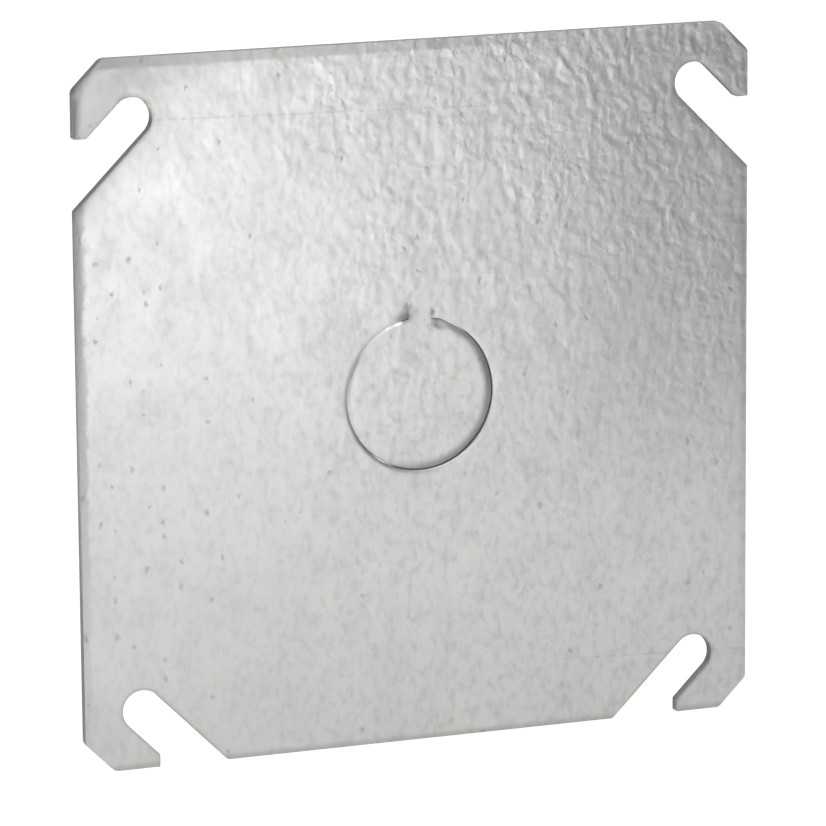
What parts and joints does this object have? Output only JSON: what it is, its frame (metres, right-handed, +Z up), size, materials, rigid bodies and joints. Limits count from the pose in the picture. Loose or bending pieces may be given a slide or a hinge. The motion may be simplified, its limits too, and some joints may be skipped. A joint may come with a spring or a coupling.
{
  "type": "electrical box cover",
  "caption": "Flat square galvanised steel cover for a 4 in electrical junction box, with cut corners, open-ended screw slots at 45 degrees and a round centre knockout held by a tie.",
  "frame": {"origin": "centre of the back face, the face that meets the box, which is also the centre of the knockout hole", "axes": "+Y out of the back face, into the box; the front face looks along -Y; +Z up, towards the knockout's tie; +X to the right as seen from the front"},
  "size_m": [0.1016, 0.0019, 0.1016],
  "materials": {
    "galvanised_steel": "hot-dip galvanised sheet, softly streaked satin zinc with darker sheared edges"
  },
  "bodies": {
    "cover": {"cover_plate": "galvanised_steel", "knockout_tie": "galvanised_steel"},
    "knockout": {"knockout_slug": "galvanised_steel"}
  },
  "joints": [
    {"name": "knockout_hinge", "type": "hinge", "parent": "cover", "child": "knockout", "pos_m": [0, 0, 0.0111], "axis": [1, 0, 0], "range_deg": [0, 90], "deforming": ["knockout_tie"]}
  ]
}
